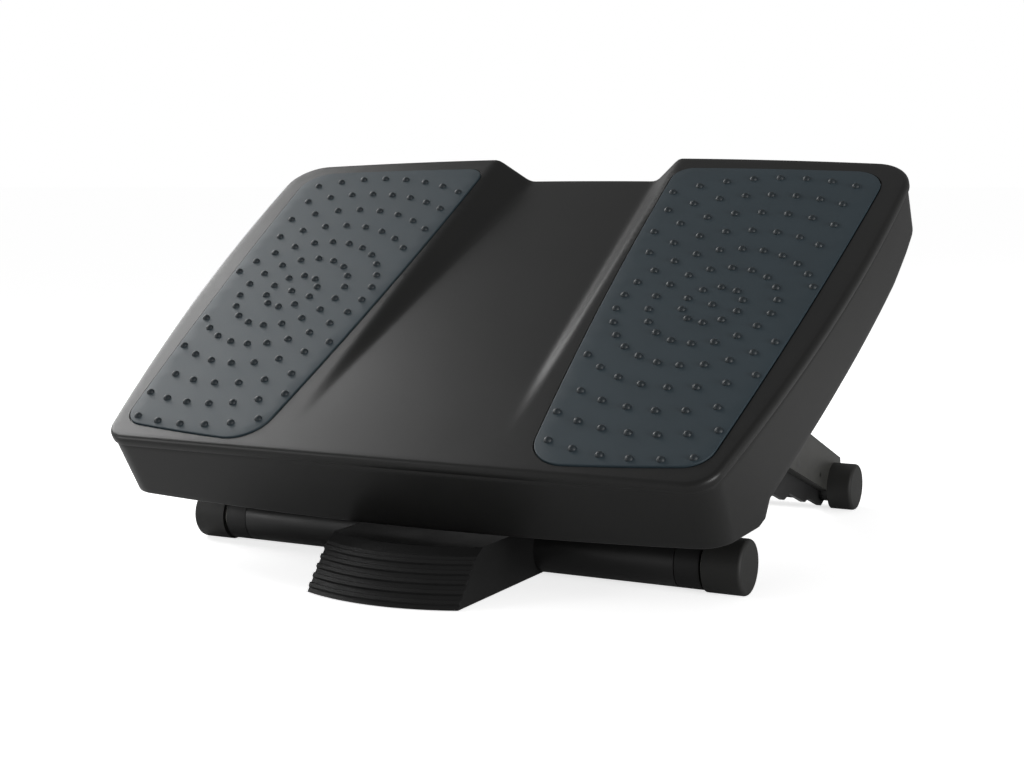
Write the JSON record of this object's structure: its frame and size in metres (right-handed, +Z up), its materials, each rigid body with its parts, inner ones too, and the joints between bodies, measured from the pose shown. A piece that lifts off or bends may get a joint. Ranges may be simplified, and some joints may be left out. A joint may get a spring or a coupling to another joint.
{
  "type": "under desk footrest",
  "caption": "Tilting footrest: a tray with two nubbed foot pads rocks on a shaft over folding legs with a height pedal.",
  "frame": {"origin": "centre of the bounding box's bottom face, on the floor", "axes": "+X across the footrest, to the right of someone facing its front; +Y from the pedal to the back; +Z up"},
  "size_m": [0.451, 0.4053, 0.2405],
  "materials": {
    "tray_plastic": "satin moulded black plastic",
    "pad_rubber": "matte slate rubber with low nubs",
    "pedal_plastic": "satin black plastic",
    "leg_plastic": "matte charcoal plastic",
    "arm_plastic": "matte black plastic",
    "black_paint": "satin black paint",
    "boot_rubber": "matte black rubber",
    "steel": "zinc plated steel",
    "nylon": "natural nylon"
  },
  "bodies": {
    "front_foot": {"front_axle": "steel", "front_boot_left": "boot_rubber", "front_boot_right": "boot_rubber", "axle_washers": "nylon"},
    "pedal": {"pedal_tube": "black_paint", "pedal_bushes": "nylon", "foot_pedal": "pedal_plastic", "latch_arm_left": "arm_plastic", "latch_arm_right": "arm_plastic", "pedal_spring": "steel"},
    "front_leg": {"front_leg_left": "leg_plastic", "front_leg_right": "leg_plastic", "front_leg_brace": "black_paint"},
    "rear_leg": {"rear_leg_left": "leg_plastic", "rear_leg_right": "leg_plastic", "stepped_web_left": "arm_plastic", "stepped_web_right": "arm_plastic", "leg_screws": "steel", "latch_rod": "steel", "rear_bar": "black_paint", "rear_boot_left": "boot_rubber", "rear_boot_right": "boot_rubber"},
    "pivot": {"pivot_shaft": "steel", "pivot_clips": "steel", "pivot_spacers": "nylon"},
    "tray": {"tray_shell": "tray_plastic", "foot_pad_left": "pad_rubber", "foot_pad_right": "pad_rubber", "tray_bracket_left": "arm_plastic", "tray_bracket_right": "arm_plastic", "bracket_screws": "steel"}
  },
  "joints": [
    {"name": "height", "type": "hinge", "parent": "front_foot", "child": "front_leg", "pos_m": [0, -0.08876, 0.0154], "axis": [1, 0, 0], "range_deg": [-35, 0]},
    {"name": "rear_fold", "type": "hinge", "parent": "front_leg", "child": "rear_leg", "pos_m": [0, -0.03644, 0.10144], "axis": [1, 0, 0], "range_deg": [0, 46.68]},
    {"name": "pivot_turn", "type": "hinge", "parent": "front_leg", "child": "pivot", "pos_m": [0, -0.03644, 0.10144], "axis": [1, 0, 0], "range_deg": [0, 13.65]},
    {"name": "tilt", "type": "hinge", "parent": "pivot", "child": "tray", "pos_m": [0, -0.03644, 0.10144], "axis": [1, 0, 0], "range_deg": [-18, 0]},
    {"name": "pedal_press", "type": "hinge", "parent": "front_foot", "child": "pedal", "pos_m": [0, -0.08876, 0.0154], "axis": [1, 0, 0], "range_deg": [-2.6, 0]}
  ],
  "couplings": [
    {"joint": "rear_fold", "follows": "height", "ratio": -1.3334},
    {"joint": "pivot_turn", "follows": "height", "ratio": -0.38971}
  ]
}
